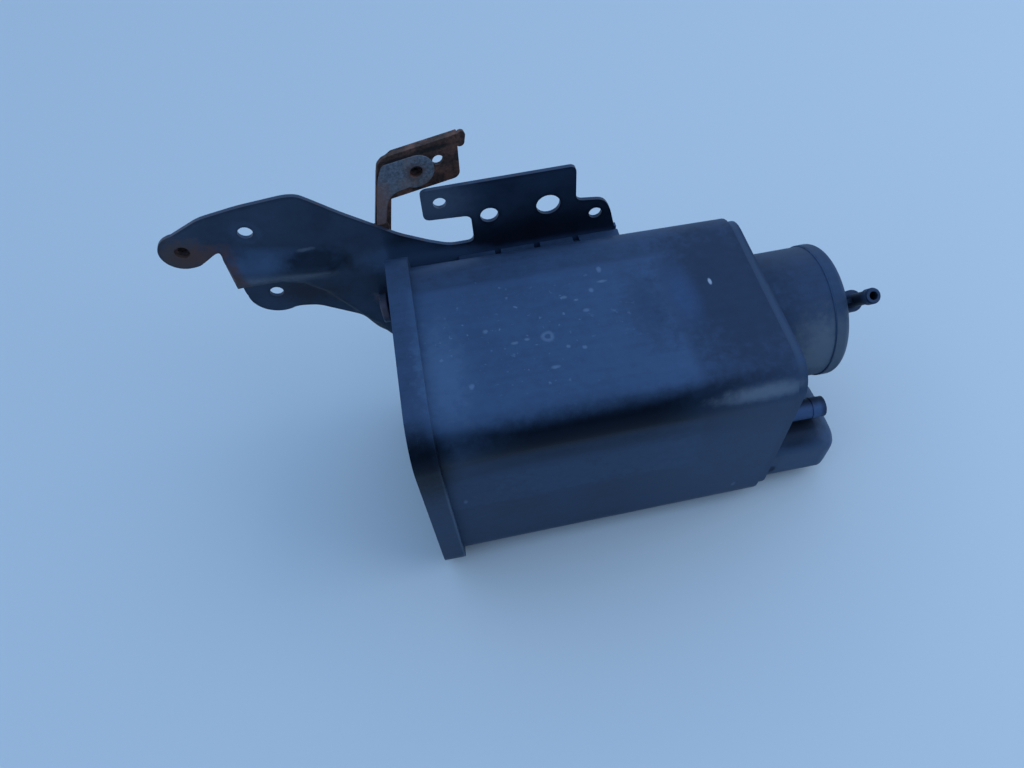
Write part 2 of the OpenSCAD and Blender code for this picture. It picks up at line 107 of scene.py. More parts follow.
def linear(code: str) -> tuple[float, float, float, float]:
    """Turns an sRGB hex colour into linear light.

    Args:
        code: colour such as "#20242a".

    Returns:
        Red, green, blue and an alpha of 1.
    """
    parts = [int(code[i:i + 2], 16) / 255 for i in (1, 3, 5)]
    light = [c / 12.92 if c <= 0.04045 else ((c + 0.055) / 1.055) ** 2.4 for c in parts]
    return light[0], light[1], light[2], 1.0


def add(tree: Tree, kind: str, inputs: Optional[dict[Any, Any]] = None, **settings: Any) -> Any:
    """Adds one node with its settings and links.

    Args:
        tree: node tree that gets the node.
        kind: Blender's name of the node, without the tree's ShaderNode or GeometryNode.
        inputs: value of each input, by name or index; a node or a socket is linked.
        settings: properties of the node.

    Returns:
        The new node.
    """
    family = "" if kind.startswith("NodeGroup") else tree.bl_idname.removesuffix("Tree")
    node = tree.nodes.new(family + kind)
    for name, value in settings.items():
        setattr(node, name, value)
    for key, value in (inputs or {}).items():
        if isinstance(value, bpy.types.Node):
            value = value.outputs[0]
        if isinstance(value, bpy.types.NodeSocket):
            tree.links.new(value, node.inputs[key])
        else:
            node.inputs[key].default_value = value
    return node


def per_mm(size: float) -> float:
    """Scale of a texture whose features are this many millimetres wide."""
    return 1 / (size * MM)


def noisy(tree: Tree, spot: Any, size: float, detail: float, roughness: float = 0.5) -> Any:
    """Adds a noise whose largest features are this many millimetres wide."""
    return add(tree, "TexNoise", {"Vector": spot, "Scale": per_mm(size), "Detail": detail, "Roughness": roughness})


def calc(tree: Tree, operation: str, *values: Any, kind: str = "Math") -> Any:
    """Adds a math node, or one of another kind such as VectorMath, with its values in order."""
    return add(tree, kind, dict(enumerate(values)), operation=operation)


def product(tree: Tree, first: Any, *others: Any) -> Any:
    """Multiplies numbers or sockets, one math node after another."""
    for other in others:
        first = calc(tree, "MULTIPLY", first, other)
    return first


def ramp(tree: Tree, value: Any, start: float, end: float, low: float = 0.0, high: float = 1.0,
         kind: Ramp = Ramp.LINEAR) -> Any:
    """Adds a ramp that goes from low to high while the value goes from start to end."""
    return add(tree, "MapRange", {0: value, 1: start, 2: end, 3: low, 4: high}, interpolation_type=kind.value)


def over(tree: Tree, share: Any, under: Any, code: str) -> Any:
    """Lays a share of a hex colour over a colour, and returns the socket of the mix."""
    return add(tree, "Mix", {0: share, 6: under, 7: linear(code)}, data_type="RGBA").outputs[2]


def split(tree: Tree, vector: Any) -> Any:
    """Splits a vector into sockets named X, Y and Z."""
    return add(tree, "SeparateXYZ", {0: vector}).outputs


def object_place(tree: Tree) -> Any:
    """Socket of the Object coordinates."""
    return add(tree, "TexCoord").outputs["Object"]


def facing(tree: Tree) -> Any:
    """Sockets of the way that a surface faces, named X, Y and Z."""
    return split(tree, add(tree, "NewGeometry").outputs["Normal"])


def cleared(owner: Any) -> Tree:
    """Empties the node tree of a material or a world and returns it."""
    owner.use_nodes = True
    owner.node_tree.nodes.clear()
    return owner.node_tree


@dataclass(frozen=True)
class Patch:
    """A soft mark in one place of a surface.

    Sizes are half widths in millimetres. fade is the share of the size over which the mark runs out, ragged is
    how far noise eats into it, hollow leaves the inner share clear, as in a ring, and square gives the mark
    straight edges. rough and sheen are the roughness and the specular level under the mark, if it has its own.
    """

    place: Place
    size: Place
    colour: str
    strength: float
    fade: float = 0.4
    ragged: float = 0.6
    hollow: float = 0.0
    rough: Optional[float] = None
    square: bool = False
    sheen: Optional[float] = None


@dataclass(frozen=True)
class Finish:
    """Base of the finishes: a named material with a bumped, mottled surface."""

    name: str

    def material(self) -> bpy.types.Material:
        """Builds the material once and returns it."""
        found = bpy.data.materials.get(self.name)
        if found:
            return found
        made = bpy.data.materials.new(self.name)
        self.shade(cleared(made))
        return made

    def shade(self, tree: Tree) -> None:
        """Fills the material's node tree; each finish has its own."""
        raise NotImplementedError

    def mask(self, tree: Tree, patch: Patch, spot: Any, noise: Any) -> Any:
        """Nodes that are 1 inside a patch and 0 away from it.

        Args:
            tree: tree of the material.
            patch: the mark.
            spot: Object coordinates.
            noise: noise that makes the mark's edge ragged.

        Returns:
            The node whose first output is the mask.
        """
        away = calc(tree, "SUBTRACT", spot, [c * MM for c in patch.place], kind="VectorMath")
        scaled = calc(tree, "DIVIDE", away, [c * MM for c in patch.size], kind="VectorMath")
        if patch.square:
            sides = split(tree, calc(tree, "ABSOLUTE", scaled, kind="VectorMath"))
            reach = calc(tree, "MAXIMUM", calc(tree, "MAXIMUM", sides["X"], sides["Y"]), sides["Z"])
        else:
            reach = calc(tree, "LENGTH", scaled, kind="VectorMath").outputs["Value"]
        wander = calc(tree, "MULTIPLY_ADD", calc(tree, "SUBTRACT", noise, 0.5), 2 * patch.ragged, reach)
        inner = ramp(tree, wander, 1 + patch.fade, 1 - patch.fade, kind=Ramp.SMOOTH)
        if not patch.hollow:
            return inner
        hole = ramp(tree, wander, patch.hollow - patch.fade, patch.hollow, kind=Ramp.SMOOTH)
        return product(tree, inner, hole)

    def marked(self, tree: Tree, patches: Sequence[Patch], spot: Any, noise: Any, surface: Surface,
               where: Any = 1.0) -> Surface:
        """Lays patches over a colour, a roughness and a specular level.

        Args:
            tree: tree of the material.
            patches: marks, the lowest first.
            spot: Object coordinates.
            noise: noise for the marks' edges.
            surface: colour, roughness and specular level so far, as sockets or numbers.
            where: share of every mark, as a number or a socket.

        Returns:
            The colour, roughness and specular level with the marks.
        """
        colour, rough, sheen = surface
        for patch in patches:
            share = product(tree, self.mask(tree, patch, spot, noise), where, patch.strength)
            colour = over(tree, share, colour, patch.colour)
            if patch.rough is not None:
                rough = add(tree, "Mix", {0: share, 2: rough, 3: patch.rough}, data_type="FLOAT")
            if patch.sheen is not None:
                sheen = add(tree, "Mix", {0: share, 2: sheen, 3: patch.sheen}, data_type="FLOAT")
        return colour, rough, sheen

    def close(self, tree: Tree, surface: Surface, height: Any, depth: float, **fixed: Any) -> None:
        """Ends the material in a Principled shader.

        Args:
            tree: tree of the material.
            surface: colour, roughness and specular level, as sockets or numbers.
            height: socket of the bump's height.
            depth: bump depth in millimetres.
            fixed: values for the shader's own sockets, with _ for a blank.
        """
        bump = add(tree, "Bump", {"Strength": 1.0, "Distance": depth * MM, "Height": height})
        inputs = {"Base Color": surface[0], "Roughness": surface[1], "Specular IOR Level": surface[2], "Normal": bump}
        inputs.update({name.replace("_", " "): value for name, value in fixed.items()})
        shader = add(tree, "BsdfPrincipled", inputs)
        add(tree, "OutputMaterial", {"Surface": shader})


@dataclass(frozen=True)
class MouldedPolyamide(Finish):
    """Black glass-filled polyamide, injection moulded: a dull sheen, a fine grain and a film of road dust.

    drawn stretches the dust's streaks along X, and weights are those of the dust's clouds, streaks and mottle.
    """

    base: str = "#0a0e15"
    dust: str = "#415a7a"
    film: float = 0.58
    upright: float = 0.94
    specks: float = 0.3
    gloss: float = 0.42
    sheen: float = 0.42
    glint: str = "#a6cbff"
    drawn: Place = (0.05, 1.0, 1.0)
    weights: tuple[float, ...] = (0.4, 0.2, 0.4)
    patches: tuple[Patch, ...] = ()
    speckled: Patch = Patch((48, -4, 126), (46, 28, 20), "#7f9ab8", 1.0, 0.6, 1.6)

    def shade(self, tree: Tree) -> None:
        """Black base, streaky dust that lies thicker on what faces up, pale specks, then the marks."""
        spot = object_place(tree)
        cloud = noisy(tree, spot, size=34, detail=5.0, roughness=0.6)
        mottle = noisy(tree, spot, size=5, detail=4.0, roughness=0.65)
        fleck = noisy(tree, spot, size=3.0, detail=2.5)
        grain = noisy(tree, spot, size=0.7, detail=2.0)
        drawn = calc(tree, "MULTIPLY", spot, self.drawn, kind="VectorMath")
        streak = noisy(tree, drawn, size=2.4, detail=4.0)
        dusty: Any = 0.0
        for layer, weight in zip((cloud, streak, mottle), self.weights):
            dusty = calc(tree, "MULTIPLY_ADD", layer, weight, dusty)
        thick = ramp(tree, dusty, start=0.38, end=0.62, low=0.55)
        upward = facing(tree)["Z"]
        lying = ramp(tree, upward, start=0.1, end=0.95, low=self.upright, kind=Ramp.SMOOTH)
        film = product(tree, thick, lying)
        colour = over(tree, product(tree, film, self.film), linear(self.base), self.dust)
        rough = calc(tree, "MULTIPLY_ADD", film, 0.22, self.gloss)
        colour, rough, sheen = self.marked(tree, self.patches, spot, mottle, (colour, rough, self.sheen))
        pale = product(tree, ramp(tree, fleck, start=0.655, end=0.74), self.mask(tree, self.speckled, spot, cloud),
                       ramp(tree, upward, start=0.5, end=0.95), self.specks)
        colour = over(tree, pale, colour, self.speckled.colour)
        self.close(tree, (colour, rough, sheen), grain, depth=0.03, IOR=1.53, Specular_Tint=linear(self.glint))


@dataclass(frozen=True)
class DipCoatedSteel(Finish):
    """Pressed steel with black dip-coat paint: satin black, dusty, chipped to rust along the sheared edges."""

    base: str = "#0a0d13"
    dust: str = "#445c79"
    # colour of the grime and painted shade in the joggle's crease
    grime_and_shade: str = "#14110f"
    rust: str = "#4a3023"
    glint: str = "#b4d2ff"
    patches: tuple[Patch, ...] = ()
    # marks on the front only: wear, dust, painted shade and painted highlights
    worn: tuple[Patch, ...] = ()

    def shade(self, tree: Tree) -> None:
        """Paint, dust film, grime and painted shade in the pressed crease, rust that creeps in from the edges, then the
        marks, among them painted shade and painted highlights, some of them on the front only.
        """
        spot = object_place(tree)
        cloud = noisy(tree, spot, size=22, detail=5.0, roughness=0.6)
        mottle = noisy(tree, spot, size=3.5, detail=5.0, roughness=0.7)
        orange = noisy(tree, spot, size=1.1, detail=2.0)
        rim = add(tree, "Attribute", attribute_name="rim").outputs["Fac"]
        crease = add(tree, "Attribute", attribute_name="crease").outputs["Fac"]
        normal = facing(tree)
        lying = ramp(tree, normal["Z"], start=0.0, end=0.4, low=0.45)
        wiped = calc(tree, "MULTIPLY_ADD", rim, -0.6, 1.0)
        film = product(tree, ramp(tree, cloud, start=0.36, end=0.68, low=0.5), lying, wiped)
        colour = over(tree, film, linear(self.base), self.dust)
        # grime in the joggle's crease, darkened further as painted shade of the crease
        colour = over(tree, product(tree, crease, 0.8), colour, self.grime_and_shade)
        chips = ramp(tree, product(tree, mottle, rim), start=0.52, end=0.66, high=0.7)
        colour = over(tree, chips, colour, self.rust)
        rough = ramp(tree, mottle, start=0.3, end=0.7, low=0.36, high=0.5)
        rough = calc(tree, "MULTIPLY_ADD", crease, 0.35, rough)
        front = ramp(tree, normal["Y"], start=0.3, end=-0.1)
        surface = self.marked(tree, self.worn, spot, mottle, (colour, rough, PLAIN_SHEEN), front)
        surface = self.marked(tree, self.patches, spot, mottle, surface)
        self.close(tree, surface, orange, depth=0.04, IOR=1.5, Specular_Tint=linear(self.glint))


@dataclass(frozen=True)
class RustedSteel(Finish):
    """Bare mild steel rusted through: dark brown scale with orange bloom, rough and pitted."""

    dark: str = "#251a18"
    scale: str = "#4b352c"
    bloom: str = "#84594a"
    patches: tuple[Patch, ...] = ()

    def shade(self, tree: Tree) -> None:
        """Scale in two browns with lighter bloom, pits from the same noise, then the marks."""
        spot = object_place(tree)
        cloud = noisy(tree, spot, size=9, detail=6.0, roughness=0.65)
        pits = noisy(tree, spot, size=1.6, detail=5.0, roughness=0.7)
        colour = over(tree, ramp(tree, pits, start=0.35, end=0.62), linear(self.dark), self.scale)
        colour = over(tree, ramp(tree, cloud, start=0.48, end=0.7, high=0.85), colour, self.bloom)
        rough = ramp(tree, pits, start=0.3, end=0.7, low=0.9, high=0.7)
        surface = self.marked(tree, self.patches, spot, pits, (colour, rough, PLAIN_SHEEN))
        self.close(tree, surface, pits, depth=0.25, IOR=1.5)


@dataclass(frozen=True)
class SpeckledSolid(Finish):
    """Plain matter of the sealed inside, told apart by its grain: carbon pellets, felt, foam or dull plastic."""

    light: str = "#808080"
    dark: str = "#404040"
    grain: float = 1.0
    rough: float = 0.9
    depth: float = 0.2
    metal: float = 0.0

    def shade(self, tree: Tree) -> None:
        """Cells of the grain's size in two tones, raised by the same pattern."""
        cell = add(tree, "TexVoronoi", {"Vector": object_place(tree), "Scale": per_mm(self.grain)})
        away = cell.outputs["Distance"]
        colour = over(tree, ramp(tree, away, start=0.0, end=0.8), linear(self.light), self.dark)
        hollow = calc(tree, "SUBTRACT", 1.0, away)
        self.close(tree, (colour, self.rough, PLAIN_SHEEN), hollow, self.depth, Metallic=self.metal)


def place_piece(piece: Piece, finish: Finish, slot: str, *stands_for: str) -> None:
    """Dresses a piece, rides it on the root body and hides the CAD nodes that it stands for.

    Args:
        piece: the piece, at the origin.
        finish: its finish.
        slot: slot of the record's materials; not used.
        stands_for: CAD nodes that the piece replaces.
    """
    piece.data.materials.append(finish.material())
    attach(piece, ROOT)
    if stands_for:
        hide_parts(*stands_for)
    LOG.info("%s: %d faces", piece.name, len(piece.data.polygons))


def new_piece(name: str, data: bpy.types.ID) -> Piece:
    """Links a new object for a mesh, a lamp or a camera.

    Args:
        name: name of the object.
        data: its mesh in the part's frame, or its lamp or camera.

    Returns:
        The object, at the origin.
    """
    data.name = name
    piece = bpy.data.objects.new(name, data)
    bpy.context.scene.collection.objects.link(piece)
    return piece


def baked(piece: Piece) -> None:
    """Turns a piece's modifiers into a plain mesh."""
    bpy.context.view_layer.update()
    mesh = bpy.data.meshes.new_from_object(piece.evaluated_get(bpy.context.evaluated_depsgraph_get()))
    mesh.name = piece.name
    piece.modifiers.clear()
    piece.data = mesh


def listed(things: Iterable[Any]) -> list[Any]:
    """Lists things once each, in the order of their first mention, so that every run is the same."""
    return list(dict.fromkeys(things))


def edges_near(shape: bmesh.types.BMesh, spot: Vector, reach: float) -> list[bmesh.types.BMEdge]:
    """Lists the edges that come within reach of a place.

    Args:
        shape: the mesh.
        spot: the place, in metres.
        reach: the distance, in metres.

    Returns:
        The edges, in the mesh's order.
    """
    found = []
    for edge in shape.edges:
        start, end = (vert.co for vert in edge.verts)
        share = geometry.intersect_point_line(spot, start, end)[1]
        if (start.lerp(end, min(max(share, 0.0), 1.0)) - spot).length < reach:
            found.append(edge)
    return found


def refine(shape: bmesh.types.BMesh, spot: Vector, reach: float, pitch: float = 2.2, merged: float = 0.3,
           passes: int = 5) -> None:
    """Splits a mesh finely round a place.

    Args:
        shape: the mesh to change.
        spot: the place, in metres.
        reach: distance within which edges are split, in metres.
        pitch: edges longer than this are halved, in millimetres.
        merged: points closer than this are joined, in millimetres.
        passes: how often edges are halved.
    """
    def triangulate() -> None:
        """Splits the faces near the place into triangles."""
        bmesh.ops.triangulate(shape, faces=listed(
            face for edge in edges_near(shape, spot, reach) for face in edge.link_faces))

    for _ in range(passes):
        triangulate()
        long = [edge for edge in edges_near(shape, spot, reach) if edge.calc_length() > pitch * MM]
        bmesh.ops.subdivide_edges(shape, edges=long, cuts=1)
        bmesh.ops.remove_doubles(shape, dist=merged * MM, verts=listed(
            vert for edge in edges_near(shape, spot, reach) for vert in edge.verts))
    bmesh.ops.holes_fill(shape, edges=[edge for edge in shape.edges if edge.is_boundary], sides=0)
    triangulate()


def blunt(mesh: bpy.types.Mesh, tips: Sequence[Tip], rounds: int = 40, pull: float = 0.6) -> None:
    """Rounds the tips where three rounded edges meet, which the edges' own roundings leave sharp.

    Args:
        mesh: the mesh to change.
        tips: place of each tip, and the distance from it within which the surface moves.
        rounds: how often points move toward their neighbours.
        pull: share of the way that a point at the tip moves each time.
    """
    shape = bmesh.new()
    shape.from_mesh(mesh)
    for tip, reach in tips:
        spot = Vector(tip) * MM
        refine(shape, spot, reach * MM)
        shape.verts.index_update()
        links = np.array([[vert.index for vert in edge.verts] for edge in shape.edges])
        links = np.vstack([links, links[:, ::-1]])
        places = np.array([vert.co for vert in shape.verts])
        share = pull * ease(1 - np.linalg.norm(places - spot, axis=1) / (reach * MM))
        links = links[share[links[:, 0]] > 0]
        count = np.maximum(np.bincount(links[:, 0], minlength=len(places)), 1)[:, None]
        for _ in range(rounds):
            total = np.zeros_like(places)
            np.add.at(total, links[:, 0], places[links[:, 1]])
            places += share[:, None] * (total / count - places)
        for vert, part, place in zip(shape.verts, share, places):
            if part > 0:
                vert.co = place
        LOG.info("blunted near %s: %d points moved", tip, int((share > 0).sum()))
    shape.to_mesh(mesh)
    shape.free()


def round_edges(piece: Piece, edge: Edge, sharpest: Angle = Angle.MOULDED, tips: Sequence[Tip] = ()) -> None:
    """Rounds a piece's edges and tips and evens its shading.

    Args:
        piece: piece with a merged mesh.
        edge: kind of edge.
        sharpest: angle above which an edge is rounded.
        tips: tips to blunt.
    """
    bevel = piece.modifiers.new("rounded edges", "BEVEL")
    bevel.limit_method = "ANGLE"
    bevel.angle_limit = math.radians(sharpest.value)
    bevel.width = edge.value * MM
    bevel.segments = EDGE_STEPS
    bevel.use_clamp_overlap = True
    baked(piece)
    blunt(piece.data, tips)
    piece.data.shade_smooth()
    piece.data.set_sharp_from_angle(angle=math.radians(Angle.SMOOTH.value))
    even = piece.modifiers.new("even shading", "WEIGHTED_NORMAL")
    even.keep_sharp = True
    baked(piece)


def softened(node: str, name: str, edge: Edge, tips: Sequence[Tip] = ()) -> Piece:
    """Copies a CAD node, merges its loose triangles into faces and rounds its edges.

    Args:
        node: name of the CAD node.
        name: name of the new piece.
        edge: kind of edge.
        tips: tips to blunt.

    Returns:
        The new piece.
    """
    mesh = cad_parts[node].data.copy()
    mesh.materials.clear()
    shape = bmesh.new()
    shape.from_mesh(mesh)
    bmesh.ops.remove_doubles(shape, verts=shape.verts, dist=MERGED)
    bmesh.ops.dissolve_limit(shape, angle_limit=math.radians(Angle.FLAT.value), use_dissolve_boundaries=False,
                             verts=shape.verts, edges=shape.edges, delimit=set())
    shape.to_mesh(mesh)
    shape.free()
    piece = new_piece(name, mesh)
    round_edges(piece, edge, tips=tips)
    return piece


def rounded(corners: Sequence[Corner], reach: float, steps: int = 6, most: float = 0.45) -> np.ndarray:
    """Rounds the corners of a closed outline.

    Args:
        corners: the outline's corners in order.
        reach: how far from a corner its rounding starts.
        steps: points on each corner, less one.
        most: largest share of a side that a rounding takes.

    Returns:
        The rounded outline's points.
    """
    points: list[np.ndarray] = []
    for i, corner in enumerate(corners):
        here = np.array(corner, float)
        back = np.array(corners[i - 1], float) - here
        ahead = np.array(corners[(i + 1) % len(corners)], float) - here
        start = here + back * min(reach / np.linalg.norm(back), most)
        end = here + ahead * min(reach / np.linalg.norm(ahead), most)
        for t in np.linspace(0, 1, steps + 1):
            points.append((1 - t) ** 2 * start + 2 * t * (1 - t) * here + t * t * end)
    return np.array(points)


def disc(centre: Corner, radius: float, steps: int = 40) -> np.ndarray:
    """Points of a circle, as an outline."""
    turn = np.linspace(0, 2 * math.pi, steps, endpoint=False)
    return np.array(centre) + radius * np.stack([np.cos(turn), np.sin(turn)], 1)


def inside(points: np.ndarray, loop: np.ndarray) -> np.ndarray:
    """Tells which points lie inside a closed outline.

    Args:
        points: places to test, one in each row.
        loop: the outline's points.

    Returns:
        True for each point inside.
    """
    found = np.zeros(len(points), bool)
    for (x0, y0), (x1, y1) in zip(loop, np.roll(loop, -1, 0)):
        if y0 == y1:
            continue
        crosses = (points[:, 1] > y0) != (points[:, 1] > y1)
        found ^= crosses & (points[:, 0] < (x1 - x0) * (points[:, 1] - y0) / (y1 - y0) + x0)
    return found


def nearest(points: np.ndarray, path: np.ndarray) -> tuple[np.ndarray, np.ndarray]:
    """Distance of points from an open path, and the side on which they lie.

    Args:
        points: places to measure, one in each row.
        path: the path's points.

    Returns:
        Distances, and 1 to the right of the path or -1 to its left.
    """
    best = np.full(len(points), np.inf)
    side = np.ones(len(points))
    for a, b in zip(path[:-1], path[1:]):
        run = b - a
        t = np.clip((points - a) @ run / (run @ run), 0, 1)
        away = points - a - t[:, None] * run
        d = np.hypot(away[:, 0], away[:, 1])
        right = np.sign(run[1] * (points[:, 0] - a[0]) - run[0] * (points[:, 1] - a[1]))
        closer = d < best - SAME_DISTANCE
        best[closer], side[closer] = d[closer], right[closer]
    return best, side


def ease(t: np.ndarray) -> np.ndarray:
    """Smooth step from 0 to 1."""
    t = np.clip(t, 0, 1)
    return t * t * (3 - 2 * t)


@dataclass
class SweptWire:
    """Base of the Geometry Nodes trees that sweep a round wire along a path, turn it and set it in place."""

    name: str = "swept_wire"
    sizes: tuple[str, ...] = ()
    steps: int = 12
    sides: int = 8
    tree: Optional[Tree] = None

    def path(self, tree: Tree, given: Any) -> Any:
        """Adds the path from the given sizes; each kind of wire has its own."""
        raise NotImplementedError

    def build(self) -> None:
        """Builds the tree: a path, swept by a circle, turned and set in place."""
        self.tree = tree = bpy.data.node_groups.new(self.name, "GeometryNodeTree")
        tree.interface.new_socket("Geometry", in_out="OUTPUT", socket_type="NodeSocketGeometry")
        for labels, kind in (((*self.sizes, "Wire"), "NodeSocketFloat"), (("Start", "Turn"), "NodeSocketVector")):
            for label in labels:
                tree.interface.new_socket(label, in_out="INPUT", socket_type=kind)
        given = add(tree, "NodeGroupInput").outputs
        wire = add(tree, "CurvePrimitiveCircle", {"Resolution": self.sides, "Radius": given["Wire"]})
        swept = add(tree, "CurveToMesh", {"Curve": self.path(tree, given), "Profile Curve": wire, "Fill Caps": True})
        laid = add(tree, "Transform", {"Geometry": swept, "Rotation": given["Turn"], "Translation": given["Start"]})
        add(tree, "NodeGroupOutput", {0: add(tree, "RealizeInstances", {"Geometry": laid})})

    def sweep(self, name: str, start: Place, turn: Place, **sizes: float) -> Piece:
        """Makes one wire.

        Args:
            name: name of the piece.
            start: where its path starts, in millimetres.
            turn: how its path is turned about X, Y and Z, in radians.
            sizes: value of each size, in metres, and of Turns.

        Returns:
            The piece, as a plain mesh.
        """
        if self.tree is None:
            self.build()
        piece = new_piece(name, bpy.data.meshes.new(name))
        modifier = piece.modifiers.new(self.name, "NODES")
        modifier.node_group = self.tree
        values = {**sizes, "Start": tuple(c * MM for c in start), "Turn": turn}
        for item in self.tree.interface.items_tree:
            if item.in_out == "INPUT":
                modifier[item.identifier] = values[item.name]
        baked(piece)
        piece.data.shade_smooth()
        return piece


@dataclass
class HelixTree(SweptWire):
    """Wound wire: springs and screw threads."""

    name: str = "wound_wire"
    sizes: tuple[str, ...] = ("Turns", "Radius", "Length")
    steps: int = 28
    sides: int = 10

    def path(self, tree: Tree, given: Any) -> Any:
        """Adds a spiral."""
        return add(tree, "CurveSpiral", {
            "Resolution": self.steps, "Rotations": given["Turns"], "Start Radius": given["Radius"],
            "End Radius": given["Radius"], "Height": given["Length"]})


@dataclass
class SeamTree(SweptWire):
    """Small bead round a seam: the flash of the cover's hot-plate weld, and the pale fill in the cap's seam, which
    paints light over the seam's shade.
    """

    name: str = "seam_bead"
    sizes: tuple[str, ...] = ("Width", "Height", "Corner")

    def path(self, tree: Tree, given: Any) -> Any:
        """Adds a rectangle with round corners."""
        box = add(tree, "CurvePrimitiveQuadrilateral", {0: given["Width"], 1: given["Height"]})
        return add(tree, "FilletCurve", {"Curve": box, "Radius": given["Corner"], "Count": self.steps}, mode="POLY")


@dataclass(frozen=True)
class Seam:
    """Middle of a seam, its width, its height, the rounding of its corners and the radius of its bead."""

    middle: Place
    width: float
    height: float
    corner: float
    bead: float


@dataclass
class MouldedHousing:
    """Shell, welded cover and filter cap of the canister."""

    shell: MouldedPolyamide
    cover: MouldedPolyamide
    cap: MouldedPolyamide
    # pale finish of the bead in the cap's seam: painted light over the seam's shade
    seam_fill: MouldedPolyamide
    weld: Seam = Seam((-3.25, 0.0, 65.75), 119.46, 130.46, 20.25, 0.5)
    cap_edge: Seam = Seam((197.1, 6.4, 87.0), 66.36, 66.36, 33.179, 0.34)
    trap_tips: tuple[Tip, ...] = (((203.2, -47.8, 44.3), 12.0), ((205.8, -45.2, 14.9), 7.5),
                                  ((203.2, -6.7, 44.3), 12.0), ((205.8, -9.3, 14.9), 7.5))

    def build(self) -> None:
        """Rounds the mouldings' edges and the trap's tips, dresses them and lays the beads round the seams."""
        for node, finish, edge, slot, tips in (
                ("canister_shell", self.shell, Edge.MOULDED, "moulded_plastic", self.trap_tips),
                ("end_cover", self.cover, Edge.MOULDED, "cover_plastic", ()),
                ("filter_cap", self.cap, Edge.CAP, "cap_plastic", ())):
            place_piece(softened(node, f"{node}_moulding", edge, tips), finish, slot, node)
        beads = SeamTree()
        for name, finish, slot, seam in (("weld_flash", self.shell, "moulded_plastic", self.weld),
                                         ("cap_seam_fill", self.seam_fill, "cap_plastic", self.cap_edge)):
            piece = beads.sweep(name, seam.middle, (math.pi / 2, 0.0, math.pi / 2), Width=seam.width * MM,
                                Height=seam.height * MM, Corner=seam.corner * MM, Wire=seam.bead * MM)
            place_piece(piece, finish, slot)


def sheet_face(name: str, solid: list[np.ndarray], holes: list[np.ndarray], pitch: float,
               lift: Move, marks: dict[str, Move]) -> bpy.types.Mesh:
    """Triangulates flat outlines finely and lifts them to the shape of a pressed sheet's face.

    Args:
        name: name of the mesh.
        solid: outlines that add up to the sheet.
        holes: outlines that are cut out.
        pitch: spacing of the points inside, in millimetres.
        lift: turns places in the flat sheet into places in the part, in millimetres.
        marks: vertex attributes, each from the places in the flat sheet.

    Returns:
        The face, with its attributes and a rim attribute that is 1 on its edges.
    """
    loops = solid + holes
    clear = 0.7 * pitch
    low, high = np.min([p.min(0) for p in solid], 0), np.max([p.max(0) for p in solid], 0)
    across, up = np.meshgrid(np.arange(low[0], high[0], pitch), np.arange(low[1], high[1], pitch))
    spots = np.stack([across.ravel(), up.ravel()], 1)
    for loop in loops:
        away, _ = nearest(spots, np.vstack([loop, loop[:1]]))
        spots = spots[away > clear]
    edges: list[tuple[int, int]] = []
    first = 0
    for loop in loops:
        edges.extend((first + i, first + (i + 1) % len(loop)) for i in range(len(loop)))
        first += len(loop)
    made = geometry.delaunay_2d_cdt([Vector(c) for c in np.vstack([*loops, spots])], edges, [], 0, SAME_POINT)
    places = np.array([(v[0], v[1]) for v in made[0]])
    faces = np.array([f for f in made[2] if len(f) == 3])
    middle = places[faces].mean(1)
    kept = np.any([inside(middle, loop) for loop in solid], 0)
    for loop in holes:
        kept &= ~inside(middle, loop)
    mesh = bpy.data.meshes.new(name)
    mesh.from_pydata((lift(places) * MM).tolist(), [], faces[kept].tolist())
    for mark, worth in marks.items():
        mesh.attributes.new(mark, "FLOAT", "POINT").data.foreach_set("value", worth(places).astype(np.float32))
    shape = bmesh.new()
    shape.from_mesh(mesh)
    bmesh.ops.delete(shape, geom=[v for v in shape.verts if not v.link_faces], context="VERTS")
    rim = shape.verts.layers.float.new("rim")
    for vert in shape.verts:
        vert[rim] = float(vert.is_boundary)
    shape.to_mesh(mesh)
    shape.free()
    return mesh


def pressed_sheet(face: bpy.types.Mesh, thickness: float) -> Piece:
    """Gives a sheet's face its thickness, to the back, and rounds its sheared edges.

    Args:
        face: the sheet's front face.
        thickness: thickness of the sheet, in millimetres.

    Returns:
        The piece, named as the face.
    """
    piece = new_piece(face.name, face)
    sheet = piece.modifiers.new("sheet", "SOLIDIFY")
    sheet.thickness = thickness * MM
    sheet.offset = -1
    sheet.use_even_offset = True
    sheet.use_quality_normals = True
    baked(piece)
    round_edges(piece, Edge.SHEARED, Angle.SHEARED)
    return piece


